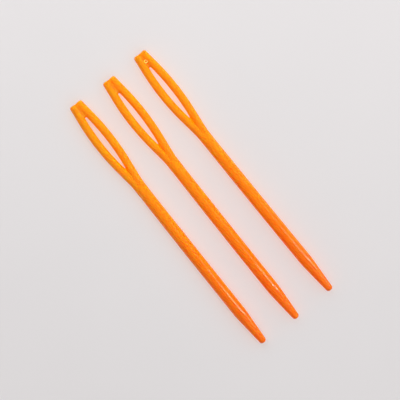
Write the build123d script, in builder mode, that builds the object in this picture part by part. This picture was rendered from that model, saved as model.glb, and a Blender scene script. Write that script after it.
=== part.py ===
import os
from math import cos, radians, sin, tan

from build123d import *

# A set of three moulded plastic yarn needles lying side by side, in millimetres.
# X runs along the needles towards their points, Z is up, and they rest on Z = 0.
# Lengths below follow one another along a needle, from its head to its point.

# Rails: two round rods, spread straight from the head, bowed beside the eye, then straight
# again to the root, where they bend back along the shaft
rail_radius = 1.25
rail_angle = 6.9
bow_radius = 75.0
root_radius = 20.0

# Head: the rails end in two blunt lobes, and a web between them closes the eye. It fills the
# head's end almost to the rails' height and slopes down to the eye
lobe_chamfer = 0.4
web_inset = 0.05
web_length = 5.1
web_head_thickness = 2.3
web_eye_thickness = 1.4

# Eye: the open slot between the rails, widest near its middle
eye_width = 6.55
eye_length = 18.3
eye_widest_from_web = 8.9

# Shaft: it starts as a nose between the rails, takes them in and runs on as a plain barrel
nose_length = 10.0
shaft_radius = 1.9
root_cover = 0.01
barrel_length = 45.5

# Point: a long blunt taper with a soft shoulder and a rounded end
taper_length = 11.1
shoulder_radius = 25.0
point_radius = 1.01

# Mould mark: a small round pad with a dimple, on one face of the web; its height is measured
# from the needle's middle
mark_from_head = 3.1
mark_radius = 0.55
mark_height = 1.0
dimple_radius = 0.26
dimple_depth = 0.12

# The set: the outer needles lie beside the middle one, a little behind it
left_spacing = 12.1
left_lag = 0.45
right_spacing = 11.9
right_lag = 0.3
right_turn = 0.65

# Share: how much of the point's end is rounded
point_rounding_share = 0.8

# Places worked out from the sizes, from the head
widest_at = web_length + eye_widest_from_web
eye_end = web_length + eye_length
barrel_at = eye_end + nose_length
taper_at = barrel_at + barrel_length
needle_length = taper_at + taper_length

# Where the rails run: corners of their path, before its arcs are put in
rail_turn = radians(rail_angle)
rail_widest = eye_width / 2 - rail_radius
rail_root = shaft_radius - root_cover - rail_radius
rail_start = (rail_radius - lobe_chamfer) * sin(rail_turn)
bow_peak = rail_widest + bow_radius * (1 / cos(rail_turn) - 1)
rail_head = bow_peak - widest_at * tan(rail_turn)
root_at = widest_at + (bow_peak - rail_root) / tan(rail_turn)


def make_needle():
    """One needle on the X axis, its head at X = 0 and its mould mark facing up."""
    with BuildPart() as needle:
        # The pair of rails, each with the rim of its blunt end chamfered
        with BuildLine() as rail:
            Polyline(
                (rail_start, rail_head + rail_start * tan(rail_turn)),
                (widest_at, bow_peak),
                (root_at, rail_root),
                (barrel_at, rail_root),
            )
            fillet(rail.vertices().sort_by(Axis.X)[1], bow_radius)
            fillet(rail.vertices().sort_by(Axis.X)[3], root_radius)
        with BuildSketch(rail.line ^ 0):
            Circle(rail_radius)
        sweep()
        chamfer(needle.edges().sort_by(Axis.X)[0], lobe_chamfer)
        mirror(about=Plane.XZ)

        # The web between them, chamfered as the lobes are, and full round where the eye begins
        with BuildSketch(Plane.XZ):
            with BuildLine():
                web_top = web_head_thickness / 2
                web_end = web_eye_thickness / 2
                nose_at = web_length - web_end
                web_start = rail_start + web_inset
                rim_at = web_start + lobe_chamfer
                ThreePointArc((nose_at, web_end), (web_length, 0), (nose_at, -web_end))
                Polyline(
                    (nose_at, -web_end),
                    (rim_at, -web_top),
                    (web_start, lobe_chamfer - web_top),
                    (web_start, web_top - lobe_chamfer),
                    (rim_at, web_top),
                    (nose_at, web_end),
                )
            make_face()
        extrude(amount=rail_head, both=True)

        # The shaft, turned about the needle's axis, from the nose to the point
        with BuildSketch(Plane.XZ) as profile:
            with BuildLine():
                Polyline(
                    (eye_end, 0),
                    (barrel_at, shaft_radius),
                    (taper_at, shaft_radius),
                    (needle_length, point_radius),
                    (needle_length, 0),
                    (eye_end, 0),
                )
            make_face()
            shoulder = profile.vertices().filter_by_position(Axis.X, taper_at, taper_at)
            fillet(shoulder, shoulder_radius)
            rim = profile.vertices().group_by(Axis.X)[-1].sort_by(Axis.Y)[-1]
            fillet(rim, point_radius * point_rounding_share)
        revolve(axis=Axis.X)

        # The mould mark
        with BuildSketch(Plane.XY):
            with Locations((mark_from_head, 0)):
                Circle(mark_radius)
        extrude(amount=mark_height)
        with BuildSketch(Plane.XY.offset(mark_height)):
            with Locations((mark_from_head, 0)):
                Circle(dimple_radius)
        extrude(amount=-dimple_depth, mode=Mode.SUBTRACT)
    return needle.part


# The set about its own middle: left and middle lie face down, right lies mark up
head_x = -(needle_length - left_lag) / 2
middle_y = (left_spacing - right_spacing) / 2
face_down = (180, 0, 0)
mark_up = (0, 0, right_turn)
places = {
    "left_needle": Location((head_x - left_lag, middle_y - left_spacing, shaft_radius), face_down),
    "middle_needle": Location((head_x, middle_y, shaft_radius), face_down),
    "right_needle": Location((head_x - right_lag, middle_y + right_spacing, shaft_radius), mark_up),
}

os.makedirs("parts", exist_ok=True)
moulding = make_needle()
for name, place in places.items():
    with BuildPart() as needle:
        with Locations(place):
            add(moulding)
    needle.part.label = name
    export_step(needle.part, f"parts/{name}.step")
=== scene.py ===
from math import cos, hypot, pi, radians, sin, tan

import bpy
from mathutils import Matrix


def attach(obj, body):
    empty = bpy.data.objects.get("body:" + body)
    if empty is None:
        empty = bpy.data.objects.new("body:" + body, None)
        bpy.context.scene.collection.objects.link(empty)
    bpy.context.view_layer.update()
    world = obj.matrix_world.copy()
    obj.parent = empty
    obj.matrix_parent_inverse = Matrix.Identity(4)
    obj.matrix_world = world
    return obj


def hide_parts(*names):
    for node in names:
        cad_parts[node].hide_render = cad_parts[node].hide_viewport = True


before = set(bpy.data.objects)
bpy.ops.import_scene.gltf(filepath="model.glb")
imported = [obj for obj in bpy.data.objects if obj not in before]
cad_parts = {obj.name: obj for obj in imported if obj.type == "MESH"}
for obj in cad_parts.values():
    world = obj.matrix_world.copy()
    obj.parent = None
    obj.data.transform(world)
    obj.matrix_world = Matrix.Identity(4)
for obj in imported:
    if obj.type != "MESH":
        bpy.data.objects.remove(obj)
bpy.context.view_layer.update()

# The pair of rails. The eye lies between two round rods of the plastic moulding, which
# leave the blunt head side by side, bow apart, close in again and bend back into the
# shaft. One needle is made first, with its head at X = 0 and its point on the X axis.
mm = 0.001
rail_radius = 1.25 * mm
rail_turn = radians(6.9)
bow_radius = 75 * mm
bend_radius = 20 * mm
widest_at = 14 * mm
rail_widest = 2.025 * mm
lobe_rounding = 0.6 * mm
shaft_radius = 1.9 * mm
shaft_cover = 0.01 * mm
barrel_at = 33.4 * mm

# The corners and arcs of a rail's middle line, and the rim of its end, which is cut square.
bow_peak = rail_widest + bow_radius * (1 / cos(rail_turn) - 1)
rail_head = bow_peak - widest_at * tan(rail_turn)
rail_start = (rail_radius - lobe_rounding) * sin(rail_turn)
rail_root = shaft_radius - rail_radius - shaft_cover
bow_centre = (widest_at, rail_widest - bow_radius, 0)
bow_starts = widest_at - bow_radius * sin(rail_turn)
bow_ends = widest_at + bow_radius * sin(rail_turn)
bend_corner = widest_at + (bow_peak - rail_root) / tan(rail_turn)
bend_starts = bend_corner - bend_radius * tan(rail_turn / 2) * cos(rail_turn)
bend_ends = bend_corner + bend_radius * tan(rail_turn / 2)
bend_centre = (bend_ends, rail_root + bend_radius, 0)
rim_ends = rail_start + rail_radius * sin(rail_turn)

# Corners are picked by their place, to within a hair.
hair = 0.02 * mm


def start_shape(name):
    """Name the primitive that was just added, put its place in its mesh and open it for editing."""
    shape = bpy.context.object
    shape.name = shape.data.name = name
    bpy.ops.object.transform_apply(location=True, rotation=True, scale=True)
    bpy.ops.object.mode_set(mode="EDIT")
    return shape


def pick(shape, kind, wanted):
    """Select the open mesh's vertices, edges or faces whose corners are all wanted."""
    bpy.ops.mesh.select_all(action="DESELECT")
    bpy.ops.mesh.select_mode(type=kind)
    bpy.ops.object.mode_set(mode="OBJECT")
    mesh = shape.data
    for item in {"VERT": mesh.vertices, "EDGE": mesh.edges, "FACE": mesh.polygons}[kind]:
        corners = [item.index] if kind == "VERT" else item.vertices
        item.select = all(wanted(mesh.vertices[c].co) for c in corners)
    bpy.ops.object.mode_set(mode="EDIT")


def push(x, y=0, z=0):
    """Extrude what is selected in a straight line."""
    bpy.ops.mesh.extrude_region_move(TRANSFORM_OT_translate={"value": (x, y, z)})


def close_shape():
    """Turn all faces outwards and leave edit mode."""
    bpy.ops.mesh.select_all(action="SELECT")
    bpy.ops.mesh.normals_make_consistent(inside=False)
    bpy.ops.object.mode_set(mode="OBJECT")


def apply_modifier(shape, kind, **settings):
    """Add a modifier with its settings and apply it."""
    modifier = shape.modifiers.new(kind.lower(), kind)
    for name, value in settings.items():
        setattr(modifier, name, value)
    bpy.context.view_layer.objects.active = shape
    bpy.ops.object.modifier_apply(modifier=modifier.name)


bpy.ops.object.select_all(action="DESELECT")
bpy.ops.mesh.primitive_circle_add(
    vertices=40,
    radius=rail_radius,
    fill_type="NGON",
    location=(rail_start, rail_head + rail_start * tan(rail_turn), 0),
    rotation=(0, pi / 2, rail_turn),
)
rails = start_shape("rails")
push(bow_starts - rail_start, (bow_starts - rail_start) * tan(rail_turn))
bpy.ops.mesh.spin(steps=24, angle=2 * rail_turn, center=bow_centre, axis=(0, 0, 1))
push(bend_starts - bow_ends, (bow_ends - bend_starts) * tan(rail_turn))
bpy.ops.mesh.spin(steps=8, angle=rail_turn, center=bend_centre, axis=(0, 0, -1))
push(barrel_at - bend_ends)
pick(rails, "EDGE", lambda v: v.x < rim_ends + hair)
bpy.ops.mesh.bevel(offset=lobe_rounding, segments=6, affect="EDGES")
close_shape()
apply_modifier(rails, "MIRROR", use_axis=(False, True, False), use_mirror_merge=False)

# The web. A wall of the same plastic fills the gap between the rails at the head, almost to
# their height, and closes the eye there. It slopes down to the eye and ends full round.
web_starts = 0.15 * mm
web_ends = 5.1 * mm
web_head_thickness = 2.3 * mm
web_rounding = 0.45 * mm
web_eye_thickness = 1.4 * mm
web_eye_rounding = 0.98 * web_eye_thickness / 2

bpy.ops.object.select_all(action="DESELECT")
bpy.ops.mesh.primitive_cube_add(
    size=1,
    location=((web_starts + web_ends) / 2, 0, 0),
    scale=(web_ends - web_starts, 2 * rail_head, web_head_thickness),
)
web = start_shape("web")
pick(web, "VERT", lambda v: v.x > web_ends - hair)
bpy.ops.transform.resize(value=(1, 1, web_eye_thickness / web_head_thickness), center_override=(web_ends, 0, 0))
for end, height, rounding in (
    (web_starts, web_head_thickness / 2, web_rounding),
    (web_ends, web_eye_thickness / 2, web_eye_rounding),
):
    for side in (-1, 1):
        pick(web, "EDGE", lambda v: abs(v.x - end) < hair and side * v.z > height - hair)
        bpy.ops.mesh.bevel(offset=rounding, segments=6, affect="EDGES")
close_shape()

# The shaft and point. The shaft starts as a nose between the rails, takes them in, swells
# very slightly to a round barrel and ends in a long blunt taper, so that it parts the
# stitches and doesn't split the yarn.
nose_starts = 24.8 * mm
neck_radius = 1.86 * mm
swell_ends = 57 * mm
taper_at = 78.9 * mm
shoulder_radius = 25 * mm
shoulder_steps = 5
needle_length = 90 * mm
point_radius = 1.01 * mm
point_rounding = 0.79 * mm
taper_slope = (shaft_radius - point_radius) / (needle_length - taper_at)
shoulder_half = shoulder_radius * taper_slope / 2
shoulder_at = taper_at - shoulder_half

bpy.ops.object.select_all(action="DESELECT")
bpy.ops.mesh.primitive_circle_add(
    vertices=48, radius=neck_radius, fill_type="NGON", location=(barrel_at, 0, 0), rotation=(0, pi / 2, 0)
)
shaft = start_shape("shaft")
stations = [(barrel_at, neck_radius), (swell_ends, shaft_radius), (shoulder_at, shaft_radius)]
for step in range(1, shoulder_steps + 1):
    past = 2 * shoulder_half * step / shoulder_steps
    stations.append((shoulder_at + past, shaft_radius - past**2 / (2 * shoulder_radius)))
stations.append((needle_length, point_radius))
for (x, radius), (next_x, next_radius) in zip(stations, stations[1:]):
    push(next_x - x)
    bpy.ops.transform.resize(value=(1, next_radius / radius, next_radius / radius), center_override=(next_x, 0, 0))
pick(shaft, "EDGE", lambda v: v.x > needle_length - hair)
bpy.ops.mesh.bevel(offset=point_rounding, segments=8, affect="EDGES")
pick(shaft, "FACE", lambda v: v.x < barrel_at + hair)
push(nose_starts - barrel_at)
bpy.ops.mesh.merge(type="CENTER")
close_shape()

# The moulding. The mould is one cavity, so rails, web and shaft are one skin with soft
# hollows where they run into each other. A fine even mesh takes them together, and
# smoothing rounds the hollows to about a third of a millimetre.
mesh_spacing = 0.13 * mm

bpy.ops.object.select_all(action="DESELECT")
for shape in (rails, web, shaft):
    shape.select_set(True)
bpy.context.view_layer.objects.active = shaft
bpy.ops.object.join()
moulding = shaft
moulding.name = moulding.data.name = "moulding"
apply_modifier(moulding, "REMESH", mode="VOXEL", voxel_size=mesh_spacing)
apply_modifier(moulding, "SMOOTH", factor=0.5, iterations=10)

# The gate mark. The plastic came in at a small round pad on one face of the web, and the
# runner was twisted off it, which leaves a ring round a dimple, coloured paler than the needle.
mark_at = 3.1 * mm
mark_aside = 0.2 * mm
mark_radius = 0.55 * mm
mark_top = 1.05 * mm
mark_height = 0.3 * mm
mark_rounding = 0.05 * mm
ring_width = 0.27 * mm
dimple_depth = 0.08 * mm

bpy.ops.object.select_all(action="DESELECT")
bpy.ops.mesh.primitive_circle_add(
    vertices=32, radius=mark_radius, fill_type="NGON", location=(mark_at, mark_aside, mark_top - mark_height)
)
mark = start_shape("gate_mark")
push(0, 0, mark_height)
pick(mark, "FACE", lambda v: v.z > mark_top - hair)
bpy.ops.mesh.inset(thickness=ring_width)
push(0, 0, -dimple_depth)
for rim in (mark_radius, mark_radius - ring_width):
    pick(mark, "EDGE", lambda v: v.z > mark_top - hair and abs(hypot(v.x - mark_at, v.y - mark_aside) - rim) < hair)
    bpy.ops.mesh.bevel(offset=mark_rounding, segments=3, affect="EDGES")
close_shape()

# The plastic. The needles are polypropylene, injection moulded in a polished mould: a
# cloudy orange that red light runs right through and green light only enters, so that
# thin rails glow yellower than the thick shaft. The skin is smooth with faint flow marks.
flow_length = 6 * mm
flow_width = 0.8 * mm
flow_strength = 0.3
wave_size = 1.5 * mm
skin_size = 0.25 * mm


def paint(hex_colour):
    """A colour written as sRGB hex, as the linear numbers that the shaders take."""
    shares = [int(hex_colour[i : i + 2], 16) / 255 for i in (0, 2, 4)]
    return [s / 12.92 if s <= 0.04045 else ((s + 0.055) / 1.055) ** 2.4 for s in shares] + [1]


def add_node(tree, kind, inputs=None, **settings):
    """Add a node, set what it has to be set to and fill or link its sockets."""
    node = tree.nodes.new(kind)
    for name, value in settings.items():
        setattr(node, name, value)
    for socket, value in (inputs or {}).items():
        if isinstance(value, bpy.types.NodeSocket):
            tree.links.new(value, node.inputs[socket])
        else:
            node.inputs[socket].default_value = value
    return node


def moulded_polypropylene(name, base, deep, roughness, parting_line=True):
    """Cloudy orange polypropylene, its colour running from base to deep along the needle: the thick shaft's deeper look
    and painted shade towards the points.
    """
    material = bpy.data.materials.new(name)
    material.use_nodes = True
    tree = material.node_tree
    tree.nodes.clear()
    place = add_node(tree, "ShaderNodeTexCoord").outputs["Object"]
    along, _, height = add_node(tree, "ShaderNodeSeparateXYZ", {0: place}).outputs
    # Flow marks are faint streaks along the needle, which shift its colour a little.
    stretched = add_node(
        tree, "ShaderNodeMapping", {"Vector": place, "Scale": (1 / flow_length, 1 / flow_width, 1 / flow_width)}
    ).outputs[0]
    flow = add_node(tree, "ShaderNodeTexNoise", {"Vector": stretched, "Scale": 1.0, "Detail": 3.0}).outputs["Fac"]
    # The colour deepens from base to deep towards the points: partly the thick shaft's deeper look, partly painted
    # shade where the light falls weaker.
    depth_and_shade = add_node(
        tree,
        "ShaderNodeMapRange",
        {"Value": along, "From Min": -30 * mm, "From Max": 36 * mm, "To Min": 0.0, "To Max": 1.0},
    ).outputs[0]
    streaked = add_node(
        tree, "ShaderNodeMath", {0: flow, 1: flow_strength, 2: depth_and_shade}, operation="MULTIPLY_ADD"
    ).outputs[0]
    tint = add_node(tree, "ShaderNodeMath", {0: streaked, 1: flow_strength / 2}, operation="SUBTRACT").outputs[0]
    # Sockets 0, 6 and 7 of a Mix node are its factor and its two colours, and output 2 its colour.
    colour = add_node(tree, "ShaderNodeMix", {0: tint, 6: paint(base), 7: paint(deep)}, data_type="RGBA").outputs[2]
    # Painted shade: the hollows by the web are coloured a deeper red-orange, where light that falls
    # into them is caught again and again.
    by_web = add_node(
        tree,
        "ShaderNodeMapRange",
        {"Value": along, "From Min": -38 * mm, "From Max": -36 * mm, "To Min": 1.0, "To Max": 0.0},
    ).outputs[0]
    bend = add_node(tree, "ShaderNodeNewGeometry").outputs["Pointiness"]
    hollow_shade = add_node(
        tree,
        "ShaderNodeMapRange",
        {"Value": bend, "From Min": 0.495, "From Max": 0.475, "To Min": 0.0, "To Max": by_web},
    ).outputs[0]
    colour = add_node(tree, "ShaderNodeMix", {0: hollow_shade, 6: colour, 7: paint("F25A00")}, data_type="RGBA").outputs[2]
    # The mould's polish leaves wide shallow waves and a fine skin of dimples.
    waves = add_node(
        tree, "ShaderNodeTexNoise", {"Vector": place, "Scale": 1 / wave_size, "Detail": 1.0}
    ).outputs["Fac"]
    skin = add_node(tree, "ShaderNodeTexNoise", {"Vector": place, "Scale": 1 / skin_size, "Detail": 2.0}).outputs["Fac"]
    gloss = add_node(
        tree,
        "ShaderNodeMapRange",
        {"Value": waves, "From Min": 0.3, "From Max": 0.7, "To Min": roughness - 0.03, "To Max": roughness + 0.03},
    ).outputs[0]
    normal = add_node(tree, "ShaderNodeBump", {"Strength": 0.2, "Distance": 0.02 * mm, "Height": waves}).outputs[0]
    normal = add_node(
        tree, "ShaderNodeBump", {"Strength": 0.3, "Distance": 0.003 * mm, "Height": skin, "Normal": normal}
    ).outputs[0]
    if parting_line:
        # The mould's halves met at the middle of the needle's height and left a line 0.1 mm wide.
        above = add_node(tree, "ShaderNodeMath", {0: height, 1: shaft_radius}, operation="SUBTRACT").outputs[0]
        away = add_node(tree, "ShaderNodeMath", {0: above}, operation="ABSOLUTE").outputs[0]
        ridge = add_node(
            tree,
            "ShaderNodeMapRange",
            {"Value": away, "From Min": 0.02 * mm, "From Max": 0.08 * mm, "To Min": 1.0, "To Max": 0.0},
            interpolation_type="SMOOTHSTEP",
        ).outputs[0]
        normal = add_node(
            tree, "ShaderNodeBump", {"Strength": 0.6, "Distance": 0.03 * mm, "Height": ridge, "Normal": normal}
        ).outputs[0]
    plastic = add_node(
        tree,
        "ShaderNodeBsdfPrincipled",
        {
            "Base Color": colour,
            "Roughness": gloss,
            "IOR": 1.49,
            "Specular IOR Level": 0.35,
            "Subsurface Weight": 1.0,
            "Subsurface Radius": (6.0 * mm, 0.6 * mm, 0.12 * mm),
            "Subsurface Scale": 1.0,
            "Normal": normal,
        },
        subsurface_method="RANDOM_WALK",
    ).outputs[0]
    # A lamp's light runs almost unhindered through the needles, so they leave hardly any shadow.
    lamp_ray = add_node(tree, "ShaderNodeLightPath").outputs["Is Shadow Ray"]
    passing = add_node(tree, "ShaderNodeBsdfTransparent", {"Color": paint("FFFCFA")}).outputs[0]
    surface = add_node(tree, "ShaderNodeMixShader", {0: lamp_ray, 1: plastic, 2: passing}).outputs[0]
    add_node(tree, "ShaderNodeOutputMaterial", {"Surface": surface})
    return material


polished = moulded_polypropylene("Moulded polypropylene, orange", "FF9A08", "FF7700", 0.13)
# The gate mark is given a plain pale yellow colour.
pale_gate_plastic = moulded_polypropylene(
    "Moulded polypropylene, pale at the gate", "FFE767", "FFE767", 0.5, parting_line=False
)
moulding.data.materials.append(polished)
mark.data.materials.append(pale_gate_plastic)
apply_modifier(moulding, "BOOLEAN", operation="UNION", object=mark, solver="EXACT", material_mode="TRANSFER")
bpy.data.objects.remove(mark)
bpy.ops.object.select_all(action="DESELECT")
moulding.select_set(True)
bpy.ops.object.shade_smooth_by_angle(angle=radians(35))

# The set. The three needles came out of one mould and lie loose side by side. The left
# and the middle one lie face down, and the right one, turned a little, shows its mark. Each
# has warped sideways by a quarter of a millimetre as it cooled.
warp = radians(1.375)
warp_shift = 0.128 * mm
# For each needle its body, where its head lies, how it is rolled and how it is turned.
lay = {
    "left_needle": ("left", -45.222 * mm, -12.0 * mm, pi, 0),
    "middle_needle": ("middle", -44.772 * mm, 0.1 * mm, pi, 0),
    "right_needle": ("right", -45.072 * mm, 12.0 * mm, 0, radians(0.65)),
}
for node, (body, head_x, head_y, roll, turn) in lay.items():
    bpy.ops.object.select_all(action="DESELECT")
    moulding.select_set(True)
    bpy.context.view_layer.objects.active = moulding
    bpy.ops.object.duplicate()
    needle = bpy.context.object
    needle.name = needle.data.name = f"{node}_moulding"
    needle.location = (-needle_length / 2, 0, 0)
    needle.rotation_euler = (roll, 0, 0)
    bpy.ops.object.transform_apply(location=True, rotation=True, scale=True)
    apply_modifier(needle, "SIMPLE_DEFORM", deform_method="BEND", deform_axis="Z", angle=warp)
    needle.location = (
        head_x + needle_length / 2 * cos(turn),
        head_y + needle_length / 2 * sin(turn) - warp_shift,
        shaft_radius,
    )
    needle.rotation_euler = (0, 0, turn)
    bpy.ops.object.transform_apply(location=True, rotation=True, scale=True)
    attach(needle, body)
    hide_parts(node)
bpy.data.objects.remove(moulding)

# The table. The needles lie on a smooth coated board, a pale grey with a hint of pink, which
# is here and there a shade lighter or darker.
board_side = 3.0
cloud_size = 40 * mm

bpy.ops.object.select_all(action="DESELECT")
bpy.ops.mesh.primitive_plane_add(size=board_side)
table = bpy.context.object
table.name = "table"
board = bpy.data.materials.new("Coated board, pale grey")
board.use_nodes = True
board.node_tree.nodes.clear()
board_place = add_node(board.node_tree, "ShaderNodeTexCoord").outputs["Object"]
cloud = add_node(
    board.node_tree, "ShaderNodeTexNoise", {"Vector": board_place, "Scale": 1 / cloud_size, "Detail": 2.0}
).outputs["Fac"]
board_colour = add_node(
    board.node_tree, "ShaderNodeMix", {0: cloud, 6: paint("D7D4D5"), 7: paint("DAD7D8")}, data_type="RGBA"
).outputs[2]
board_skin = add_node(
    board.node_tree, "ShaderNodeBsdfPrincipled", {"Base Color": board_colour, "Roughness": 0.7, "IOR": 1.45}
).outputs[0]
add_node(board.node_tree, "ShaderNodeOutputMaterial", {"Surface": board_skin})
table.data.materials.append(board)

# The light. Broad soft lamps hang beyond the heads, beyond the points and to the right of
# the needles. The first and the last give light but no shine. A tall narrow one stands
# beside the points and draws the thin line of shine along them. A pale room does the rest,
# and is seen brighter than the light that it gives.
room_light = 0.3
room_seen = 1.0

world = bpy.data.worlds.new("Pale room")
bpy.context.scene.world = world
world.use_nodes = True
world.node_tree.nodes.clear()
seen = add_node(world.node_tree, "ShaderNodeLightPath").outputs["Is Camera Ray"]
strength = add_node(
    world.node_tree,
    "ShaderNodeMapRange",
    {"Value": seen, "From Min": 0.0, "From Max": 1.0, "To Min": room_light, "To Max": room_seen},
).outputs[0]
room = add_node(world.node_tree, "ShaderNodeBackground", {"Color": paint("FFFDFB"), "Strength": strength}).outputs[0]
add_node(world.node_tree, "ShaderNodeOutputWorld", {"Surface": room})


def hang_lamp(name, size, power, tilt, side, distance):
    """An area lamp that points at the needles, tilted from upright towards a side, in degrees."""
    bpy.ops.object.light_add(type="AREA")
    lamp = bpy.context.object
    lamp.name = name
    lamp.data.shape = "DISK"
    lamp.data.size = size
    lamp.data.energy = power
    lamp.rotation_euler = (0, radians(tilt), radians(side))
    lamp.location = (
        distance * sin(radians(tilt)) * cos(radians(side)),
        distance * sin(radians(tilt)) * sin(radians(side)),
        distance * cos(radians(tilt)),
    )
    return lamp


head_lamp = hang_lamp("head lamp", size=0.67, power=2.8, tilt=48, side=166, distance=0.6)
head_lamp.visible_glossy = False
hang_lamp("point lamp", size=1.2, power=1.6, tilt=45, side=5, distance=0.9)
side_lamp = hang_lamp("side lamp", size=0.6, power=2.6, tilt=66, side=90, distance=0.9)
side_lamp.visible_glossy = False
bpy.ops.object.light_add(type="AREA", location=(0.19, 1.0, 1.11), rotation=(radians(-90), radians(-6), 0))
tall_lamp = bpy.context.object
tall_lamp.name = "tall lamp"
tall_lamp.data.shape = "RECTANGLE"
tall_lamp.data.size = 0.05
tall_lamp.data.size_y = 1.12
tall_lamp.data.energy = 8.5

# The camera looks straight down at the set, turned so that the points lie to the lower
# right. What it takes in is 118.3 mm wide at the height of the needles' middle.
camera_height = 450 * mm
camera_turn = radians(51.575)
view_width = 118.3 * mm
sensor_width = 36

bpy.ops.object.camera_add(
    location=(0.016 * mm, -0.578 * mm, shaft_radius + camera_height), rotation=(0, 0, camera_turn)
)
camera = bpy.context.object
camera.data.sensor_width = sensor_width
camera.data.lens = sensor_width * camera_height / view_width
bpy.context.scene.camera = camera

bpy.context.scene.view_settings.view_transform = "Standard"
